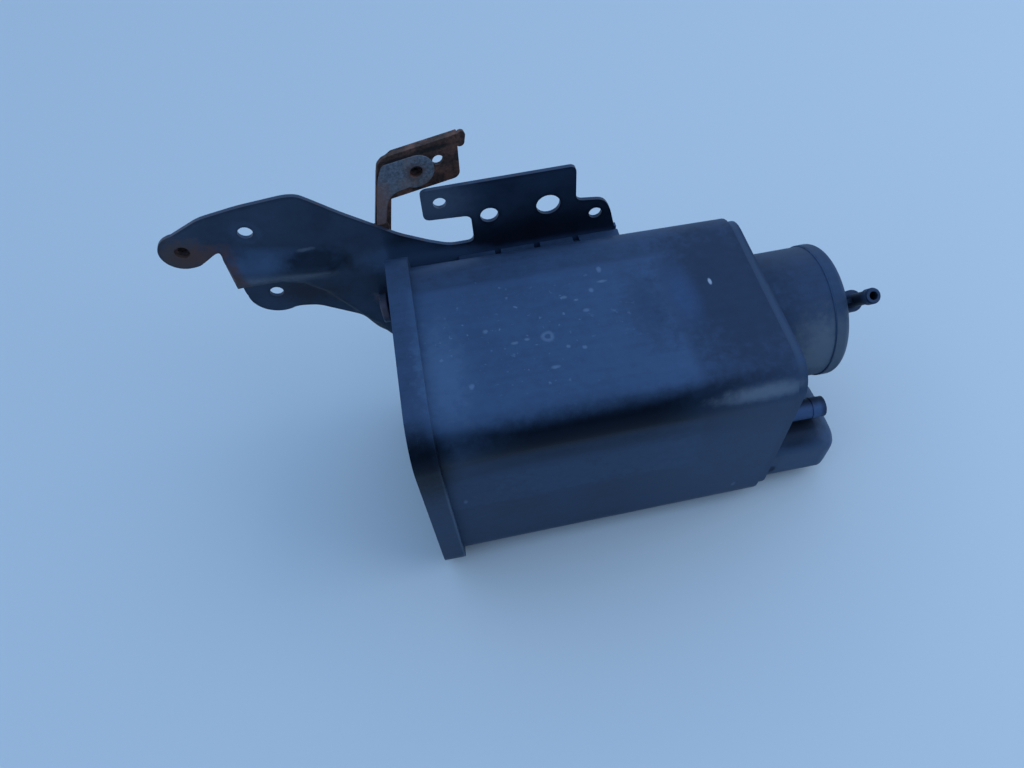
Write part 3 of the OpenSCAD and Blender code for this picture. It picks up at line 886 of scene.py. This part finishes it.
@dataclass
class PressedBracket:
    """Mounting bracket pressed from one sheet: plate, arm, bead and the ear set back by a joggle.

    Outlines are in the sheet's own plane, in millimetres: x along the canister, h above the sheet's datum. The
    bead starts the share bead_lead of its run before bead_from, and bead_fade is the x from which it rises and the
    length over which it does. A round end or a hole is its x, its h and its radius.
    """

    finish: DipCoatedSteel
    face_y: float = 62.25
    datum_z: float = 113.75
    thickness: float = 2.0
    joggle: float = 5.0
    joggle_run: float = 4.5
    bead_h: float = 5.0
    bead_wide: float = 16.0
    bead_narrow: float = 11.0
    bead_from: Corner = (-83, 16)
    bead_to: Corner = (-38, 9)
    bead_lead: float = -0.4
    bead_fade: Corner = (-99, 18)
    # reach of the grime and painted shade on each side of the joggle, in millimetres
    grime_and_shade_reach: float = 2.5
    corner: float = 3.6
    plate: tuple[Corner, ...] = ((15, -39.2), (111, -39.2), (111, -2), (107.5, 14), (104, 20), (90, 22), (90, 43.5),
                                 (15, 43.5))
    arm_top: tuple[Corner, ...] = ((14.5, 25.5), (37.5, 24), (37.5, 6.5), (25, 6.5), (15, 11.2), (1.5, 19),
                                   (-23, 38.5), (-36, 50), (-39.5, 52.8), (-45, 53.8), (-67, 52), (-85.5, 49),
                                   (-103.2, 40.8))
    arm_left: tuple[Corner, ...] = ((-106, 25), (-94.9, 22), (-85.3, 28.2), (-82.6, 28))
    ear: tuple[Corner, ...] = ((-17.5, -58), (-23, -52), (-29, -39.5), (-50, -25), (-60, -23), (-68, -24.7), (-83, -10))
    step: tuple[Corner, ...] = ((-83, 1), (-62, 1), (-52, -3), (-43, -11), (-21, -47), (-14, -60))
    drop: Corner = (-1, -2)
    tip: Round = (-99.5, 31.5, 10.6)
    ear_end: Round = (-68, -10, 14.7)
    holes: tuple[Round, ...] = (
        (-68, 37, 3.5), (-68, -10, 3.5), (-99.5, 31.5, 3.5), (23.5, 35, 3.2), (46.5, 22.3, 4.5), (76, 22.5, 6),
        (100, 11.8, 3.3))
    pitch: float = 1.7
    lug_x: float = -17.0
    lug_t: float = 4.0
    lug_corner: float = 4.0
    lug_side: tuple[Corner, ...] = ((52.25, -34), (63.6, -34), (63.6, -19), (52.25, -19))

    def loops(self) -> tuple[list[np.ndarray], list[np.ndarray]]:
        """Draws the flat sheet.

        Returns:
            The outlines that add up to the sheet, and those of its holes.
        """
        low = [(x + self.drop[0], h + self.drop[1]) for x, h in self.step]
        arm = rounded([*low, *self.plate, *self.arm_top, *self.arm_left], self.corner)
        ear = rounded([*self.step, *self.ear], self.corner)
        solid = [arm, ear, disc(self.tip[:2], self.tip[2]), disc(self.ear_end[:2], self.ear_end[2], END_STEPS)]
        return solid, [disc(hole[:2], hole[2], HOLE_STEPS) for hole in self.holes]

    def across_step(self, points: np.ndarray) -> np.ndarray:
        """Distance of places below the middle of the joggle, negative above it."""
        away, side = nearest(points, np.array(self.step) + np.array(self.drop) / 2)
        return side * away

    def lift(self, points: np.ndarray) -> np.ndarray:
        """Presses the joggle and the bead into flat places.

        Args:
            points: places in the sheet's plane.

        Returns:
            Places on the sheet's front face.
        """
        depth = self.joggle * ease(0.5 + self.across_step(points) / self.joggle_run)
        start, end = np.array(self.bead_from), np.array(self.bead_to)
        run = end - start
        t = np.clip((points - start) @ run / (run @ run), self.bead_lead, 1)
        gap = points - start - t[:, None] * run
        half = self.bead_wide + (self.bead_narrow - self.bead_wide) * np.clip(t, 0, 1)
        across = np.clip(np.hypot(gap[:, 0], gap[:, 1]) / half, 0, 1)
        fade = ease((points[:, 0] - self.bead_fade[0]) / self.bead_fade[1])
        depth -= fade * self.bead_h * (0.5 + 0.5 * np.cos(math.pi * across))
        return np.stack([points[:, 0], self.face_y + depth, self.datum_z + points[:, 1]], 1)

    def grime_and_shade(self, points: np.ndarray) -> np.ndarray:
        """Share of grime and painted shade, which both gather in the joggle's crease."""
        return np.exp(-(self.across_step(points) / self.grime_and_shade_reach) ** 2)

    def lug(self) -> None:
        """Stop lug that stands out of the arm beside the flange."""
        side = rounded(self.lug_side, self.lug_corner)
        count = len(side)
        verts = [(x * MM, y * MM, (self.datum_z + h) * MM) for x in (self.lug_x, self.lug_x + self.lug_t)
                 for y, h in side]
        walls = [(i, (i + 1) % count, count + (i + 1) % count, count + i) for i in range(count)]
        mesh = bpy.data.meshes.new("bracket_lug")
        mesh.from_pydata(verts, [], [tuple(range(count))[::-1], tuple(range(count, 2 * count)), *walls])
        piece = new_piece("bracket_lug", mesh)
        round_edges(piece, Edge.MOULDED, Angle.SHEARED)
        place_piece(piece, self.finish, "bracket_paint")

    def build(self) -> None:
        """Presses the sheet, gives it its thickness and dresses it."""
        solid, holes = self.loops()
        # the crease attribute carries the share of grime and painted shade
        face = sheet_face("bracket_pressing", solid, holes, self.pitch, self.lift, {"crease": self.grime_and_shade})
        place_piece(pressed_sheet(face, self.thickness), self.finish, "bracket_paint", "mounting_bracket")
        self.lug()


@dataclass
class RustySteelwork:
    """Support tab with the strap on its face, and the two weld nuts with their threads.

    The strap's outline is in the tab's own plane: s along it from its foot, h above the bracket's datum.
    """

    tab: RustedSteel
    worn: RustedSteel
    nut: RustedSteel
    winder: HelixTree
    foot: Place = (-4.75, 65.75, 113.75)
    yaw: float = 10.0
    strap: tuple[Corner, ...] = ((-5.4, 18), (-3.0, 28), (2.2, 51), (5.2, 58.3), (21, 58.9), (21, 43.2), (8.6, 42.2),
                                 (4.4, 38.6), (1.0, 25.5), (-0.6, 18))
    strap_t: float = 0.8
    strap_corner: float = 2.5
    strap_pitch: float = 2.5
    eye: Round = (20.5, 50.2, 8.7)
    bore: float = 3.2
    threads: tuple[tuple[str, Place, float], ...] = (
        ("arm_nut_thread", (-99.5, 64.25, 145.25), 0.0), ("tab_nut_thread", (15.09, 71.28, 163.95), 10.0))
    thread_r: float = 2.42
    thread_l: float = 6.0
    thread_end: float = 0.6
    thread_wire: float = 0.28

    def lift(self, points: np.ndarray) -> np.ndarray:
        """Places of the strap's face, a strap's thickness in front of the tab."""
        yaw = math.radians(self.yaw)
        s, h = points[:, 0], points[:, 1]
        return np.stack([self.foot[0] + s * math.cos(yaw) + self.strap_t * math.sin(yaw),
                         self.foot[1] + s * math.sin(yaw) - self.strap_t * math.cos(yaw), self.foot[2] + h], 1)

    def build(self) -> None:
        """Rounds the pieces' edges, adds the strap and the threads, and dresses them."""
        for node, finish, edge, slot in (
                ("support_tab", self.tab, Edge.RUSTED, "rusty_steel"),
                ("arm_weld_nut", self.nut, Edge.NUT, "nut_steel"),
                ("tab_weld_nut", self.nut, Edge.NUT, "nut_steel")):
            place_piece(softened(node, f"{node}_piece", edge), finish, slot, node)
        solid = [rounded(self.strap, self.strap_corner), disc(self.eye[:2], self.eye[2], END_STEPS)]
        holes = [disc(self.eye[:2], self.bore, HOLE_STEPS)]
        face = sheet_face("tab_strap", solid, holes, self.strap_pitch, self.lift, {})
        place_piece(pressed_sheet(face, self.strap_t), self.worn, "rusty_steel")
        run = self.thread_l - self.thread_end
        for name, start, yaw in self.threads:
            piece = self.winder.sweep(name, start, (-math.pi / 2, 0.0, math.radians(yaw)), Turns=run,
                                      Radius=self.thread_r * MM, Length=run * MM, Wire=self.thread_wire * MM)
            place_piece(piece, self.nut, "nut_steel")


@dataclass
class SealedInside:
    """What the housing hides: carbon beds, felts, foam, grid plates and springs."""

    carbon: SpeckledSolid
    felt: SpeckledSolid
    foam: SpeckledSolid
    grid: SpeckledSolid
    wire: SpeckledSolid
    winder: HelixTree
    springs: tuple[tuple[str, float, float], ...] = (
        ("main_spring_left", -27.875, 36.625), ("main_spring_right", 27.875, 36.625), ("second_spring", 0, 99.125))
    start_x: float = -2.25
    length: float = 21.0
    radius: float = 10.0
    wire_r: float = 0.8
    turns: float = 4.0

    def build(self) -> None:
        """Dresses the CAD nodes and winds smooth springs in place of the faceted ones."""
        for finish, nodes in ((self.carbon, ("main_carbon_bed", "second_carbon_bed")),
                              (self.felt, ("main_port_felt", "second_port_felt", "main_cover_felt",
                                           "second_cover_felt")),
                              (self.foam, ("vent_filter",)), (self.grid, ("main_grid_plate", "second_grid_plate"))):
            for node in nodes:
                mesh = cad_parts[node].data
                mesh.materials.clear()
                mesh.materials.append(finish.material())
                LOG.info("%s: dressed", node)
        for node, y, z in self.springs:
            piece = self.winder.sweep(f"{node}_coil", (self.start_x, y, z), (0.0, math.pi / 2, 0.0), Turns=self.turns,
                                      Radius=self.radius * MM, Length=self.length * MM, Wire=self.wire_r * MM)
            place_piece(piece, self.wire, "spring_steel", node)


@dataclass
class Studio:
    """Pale floor, soft light and the camera of the photograph.

    The lamp's size, place and aim are in metres; the other lengths are in millimetres.
    """

    lens: float = 26.359
    eye: Place = (22.613, -212.259, 393.425)
    rows: tuple[Place, ...] = ((0.981987, 0.181133, -0.053785), (-0.179933, 0.80956, -0.558781),
                               (-0.057672, 0.558393, 0.827569))
    rest_x: float = 3.25
    rest_slope: float = 0.0494
    floor_half: float = 6000.0
    floor: str = "#cad5d8"
    floor_rough: float = 0.6
    floor_sheen: float = 0.2
    sky_top: str = "#a2c5f4"
    sky_low: str = "#b4c6da"
    shade: str = "#2a3644"
    backdrop: str = "#a9c8e6"
    sky_strength: float = 1.25
    lamp_tint: str = "#e6efff"
    lamp_size: float = 1.4
    lamp_watts: float = 7.0
    lamp_place: Place = (1.3, -0.25, 1.0)
    lamp_aim: Place = (0.05, 0, 0.06)
    sensor: float = 36.0
    clip: float = 10.0

    def ground(self) -> None:
        """Lays the floor under the two edges that the canister rests on."""
        half = self.floor_half
        corners = [(x, y, (x - self.rest_x) * self.rest_slope) for x, y in
                   ((-half, -half), (half, -half), (half, half), (-half, half))]
        mesh = bpy.data.meshes.new("floor")
        mesh.from_pydata([[c * MM for c in corner] for corner in corners], [], [(0, 1, 2, 3)])
        made = bpy.data.materials.new("pale_painted_panel")
        tree = cleared(made)
        shader = add(tree, "BsdfPrincipled", {"Base Color": linear(self.floor), "Roughness": self.floor_rough,
                                              "Specular IOR Level": self.floor_sheen})
        add(tree, "OutputMaterial", {"Surface": shader})
        mesh.materials.append(made)
        new_piece("floor", mesh)

    def light(self) -> None:
        """Overcast sky, shaded on the photographer's side, and one large soft lamp at the canister's port end."""
        world = bpy.data.worlds.new("overcast")
        bpy.context.scene.world = world
        tree = cleared(world)
        ray = split(tree, add(tree, "TexCoord").outputs["Generated"])
        height = ramp(tree, ray["Z"], start=0.05, end=0.75, kind=Ramp.SMOOTH)
        sky = over(tree, height, linear(self.sky_low), self.sky_top)
        near = ramp(tree, ray["Y"], start=-0.3, end=-0.7, kind=Ramp.SMOOTH)
        below = ramp(tree, ray["Z"], start=0.85, end=0.6, kind=Ramp.SMOOTH)
        sky = over(tree, product(tree, near, below), sky, self.shade)
        lit = add(tree, "Background", {"Color": sky, "Strength": self.sky_strength})
        seen = add(tree, "Background", {"Color": linear(self.backdrop), "Strength": 1.0})
        path = add(tree, "LightPath")
        both = add(tree, "MixShader", {0: path.outputs["Is Camera Ray"], 1: lit, 2: seen})
        add(tree, "OutputWorld", {"Surface": both})
        lamp = bpy.data.lights.new("overhead", "AREA")
        lamp.shape = "DISK"
        lamp.size = self.lamp_size
        lamp.energy = self.lamp_watts
        lamp.color = linear(self.lamp_tint)[:3]
        holder = new_piece("overhead", lamp)
        holder.location = self.lamp_place
        holder.rotation_euler = (Vector(self.lamp_aim) - holder.location).to_track_quat("-Z", "Y").to_euler()

    def view(self) -> None:
        """Sets the camera from the perspective fit of the photograph."""
        camera = bpy.data.cameras.new("camera")
        camera.lens = self.lens
        camera.sensor_width = self.sensor
        camera.clip_start = self.clip * MM
        holder = new_piece("camera", camera)
        holder.matrix_world = Matrix.Translation([c * MM for c in self.eye]) @ Matrix(self.rows).to_4x4()
        bpy.context.scene.camera = holder

    def build(self) -> None:
        """Builds the stage."""
        self.ground()
        self.light()
        self.view()
        bpy.context.scene.view_settings.view_transform = "Standard"


def housing() -> MouldedHousing:
    """Sets up the mouldings with the marks that the photograph shows on them, among them painted shade, painted
    highlights and painted dark reflections.

    Returns:
        The housing, ready to build.
    """
    # painted dark reflection on the front upper corner of the flange, with its specular level lowered
    corner = Patch((-3, -56, 113), (11, 10, 24), "#05080d", 0.9, 0.6, 0.3, rough=0.4, sheen=0.12)
    shell = MouldedPolyamide("black_moulded_polyamide", patches=(
        Patch((61, -14, 125), (60, 42, 60), "#46698f", 0.2, 0.05, 0.12, square=True),
        Patch((150, 0, 124), (27, 52, 14), "#101a2a", 0.6, 0.5, 0.6),
        Patch((109, -2, 125), (9, 20, 8), "#14202f", 0.34, 0.8, 0.6),
        Patch((127, 2, 125), (6, 15, 6), "#3f618f", 0.25, 0.7, 0.5),
        # painted dark reflection along the front top rounding and the front just under it, with the specular level
        # lowered
        Patch((72, -56, 107), (56, 8, 12), "#070b12", 0.5, 0.6, 0.2, square=True, sheen=0.15),
        Patch((72, -54.2, 114), (55, 6.4, 7.6), "#04060a", 0.88, 0.55, 0.14, rough=0.3, square=True, sheen=0.12),
        Patch((148, -53, 115), (17, 4, 3.2), "#8796a4", 0.5, 0.8, 0.8, rough=0.7),
        Patch((60.4, -9.8, 125.8), (2.9, 2.9, 3), "#8ba3bd", 0.2, 0.3, 0.4, 0.6),
        Patch((141.3, 6.4, 124.1), (0.8, 1.9, 2), "#b7c7d6", 0.6, 0.4, 0.5),
        # painted shade: a near-black spot that stands for a small gap where the trap block meets the rim
        Patch((172.6, -49.5, 26.4), (2.4, 3, 3.4), "#010203", 1.0, 0.3, 0.3, sheen=0.1),
        *(Patch((x, y, z), (w, d, 2), "#8aa3bd", 0.24, 0.6, 1.0) for x, y, z, w, d in CHIPS),
        Patch((186, 14, 114), (24, 34, 18), "#0c1522", 0.3, 0.5, 0.4),
        # painted highlight: a pale line along the top of the rim's step
        Patch((165.6, 0, 120), (1.8, 58, 7), "#62788f", 0.2, 0.6, 1.0),
        Patch((11, -22, 127), (9, 24, 5), "#64809e", 0.24, 0.9, 1.6),
        # painted light: the right part of the front and the trap's front are lightened, as where more light falls from
        # the right
        Patch((152, -56, 55), (46, 8, 60), "#48617f", 0.24, 0.6, 0.4),
        Patch((195, -50, 28), (26, 8, 18), "#4c6583", 0.4, 0.6, 0.4),
        # painted highlight on the port tube, then painted shade along its upper side and on its end
        Patch((186, -37, 59), (20, 6, 7), "#5272a0", 0.45, 0.6, 0.3),
        Patch((184, -30.5, 62), (20, 4.5, 4), "#070b12", 0.8, 0.5, 0.2),
        Patch((199, -33, 56), (2.6, 9, 9), "#0a0f18", 0.6, 0.4, 0.2),
        Patch((191, -24, 96), (14, 14, 16), "#74838e", 0.6, 0.8, 0.8, rough=0.7),
        # painted shadow of the port tube on the trap's top
        Patch((184, -39, 48), (14, 9, 6), "#04070c", 0.9, 0.6, 0.4),
        # painted highlight: a pale thin line along the flange's rounded edge
        Patch((3.25, -60, 58), (0.9, 1.2, 64), "#67798a", 0.4, 0.4, 0.3),
        corner,
    ))
    # the cover shares the painted dark reflection at the flange's corner
    cover = MouldedPolyamide("black_moulded_polyamide_cover", patches=(corner,))
    cap = MouldedPolyamide("black_moulded_polyamide_cap", film=0.5, patches=(
        Patch((201, -24, 96), (12, 14, 16), "#74838e", 0.45, 0.8, 0.8, rough=0.7),
        Patch((211.5, -11.5, 113.5), (6, 7, 9), "#05070b", 0.85, 0.4, 0.2),
    ))
    # the bead in the cap's seam gets a paler plastic: painted light over the seam's shade
    return MouldedHousing(shell, cover, cap, MouldedPolyamide("pale_seam_fill", base="#141c27", dust="#4d6687", film=0.75))


def bracket() -> PressedBracket:
    """Sets up the bracket with its rust, worn paint, painted shade and painted highlights; the marks in worn are on its
    front only.

    Returns:
        The bracket, ready to build.
    """
    rust = "#5f3f2e"
    return PressedBracket(DipCoatedSteel("black_dip_coated_steel", patches=(
        Patch((-101, 63, 143), (12, 9, 10), "#574840", 0.8, 0.6, 0.9, rough=0.75),
        Patch((-91, 63, 141), (12, 9, 6), rust, 0.55, 0.6, 0.9, rough=0.8),
        Patch((-80.5, 62, 126), (4, 9, 10), rust, 0.8, 0.6, 0.9, rough=0.8),
        Patch((-49, 68, 101), (16, 9, 9), "#2b211d", 0.7, 0.7, 1.0, rough=0.7),
        Patch((-68, 62, 151), (6.5, 9, 6.5), "#3f5674", 0.3, 0.3, 0.5, 0.7),
    ), worn=(
        Patch((-15, 55, 91), (5, 9, 6), "#77686a", 0.6, 0.5, 0.8, rough=0.8),
        # painted highlight on the upper flank of the bead
        Patch((-71, 60, 129), (11, 9, 8), "#4a6486", 0.4, 0.6, 0.5),
        # painted shade on the lower flank of the bead and at its right end
        Patch((-43, 60, 128), (14, 9, 7), "#06090e", 0.8, 0.5, 0.5),
        Patch((-26.5, 62, 122), (2.4, 9, 6), "#04070c", 0.8, 0.6, 0.4),
        Patch((-44, 61, 134.6), (3.4, 9, 0.8), "#8795a3", 0.3, 0.8, 1.4),
        Patch((2, 62, 120), (20, 9, 6), "#445f80", 0.6, 0.7, 0.3),
        # painted shade where the plate stands behind the canister's body
        Patch((75, 62, 118), (47, 9, 16), "#030508", 0.75, 0.6, 0.2),
        # paler patches on the plate: dust, and painted light that lifts the shade beside the canister's body and
        # lightens the plate's upper left
        Patch((14, 62, 113), (26, 9, 6), "#4a6688", 0.8, 0.5, 0.3),
        Patch((70, 62, 110.5), (48, 9, 3.4), "#3b5070", 0.6, 0.6, 0.3),
        Patch((22, 62, 148), (16, 9, 14), "#5a6a7e", 0.75, 0.7, 0.4),
    )))


def steelwork(winder: HelixTree) -> RustySteelwork:
    """Sets up the support tab, its strap and the weld nuts.

    Args:
        winder: tree that winds the nuts' threads.

    Returns:
        The steelwork, ready to build.
    """
    tab = RustedSteel("rusted_mild_steel", patches=(
        # painted shadow in the crevice under the tab's top lip
        Patch((9, 68, 172.6), (9, 9, 1.3), "#100c0b", 0.9, 0.5, 0.4),
        Patch((24, 71, 173.6), (10, 9, 1.3), "#100c0b", 0.9, 0.5, 0.4),
    ))
    strap = RustedSteel("worn_grey_strap", dark="#4b535d", scale="#6d7a88", bloom="#7e6f6b", patches=(
        Patch((-5, 66, 146), (6, 9, 20), "#785b53", 0.65, 0.5, 0.8),
        Patch((15.1, 69, 164), (5, 9, 5), "#4e3a32", 0.6, 0.4, 0.6),
    ))
    return RustySteelwork(tab, strap, RustedSteel("rusted_weld_nut", dark="#3a3032", scale="#594847"), winder)


def sealed(winder: HelixTree) -> SealedInside:
    """Sets up what the housing hides.

    Args:
        winder: tree that winds the springs.

    Returns:
        The inside, ready to build.
    """
    return SealedInside(
        SpeckledSolid("activated_carbon_pellets", "#1a1b1d", "#060607", grain=2.0, rough=0.95, depth=0.6),
        SpeckledSolid("pressed_felt", "#cfc8b4", "#a59c86", grain=0.6, rough=1.0, depth=0.1),
        SpeckledSolid("open_cell_foam", "#6b6f73", "#2e3032", grain=1.2, rough=0.95, depth=0.4),
        SpeckledSolid("dark_grid_polyamide", "#3a3d41", "#2f3235", grain=0.5, rough=0.55, depth=0.02),
        SpeckledSolid("drawn_spring_wire", "#b9bcc0", "#9fa3a8", grain=0.4, rough=0.35, depth=0.01, metal=1.0), winder)


def main() -> None:
    """Builds the pieces in order."""
    logging.basicConfig(level=logging.INFO, format="%(name)s %(message)s")
    winder = HelixTree()
    for group in (housing(), bracket(), steelwork(winder), sealed(winder), Studio()):
        group.build()


if __name__ == "__main__":
    main()
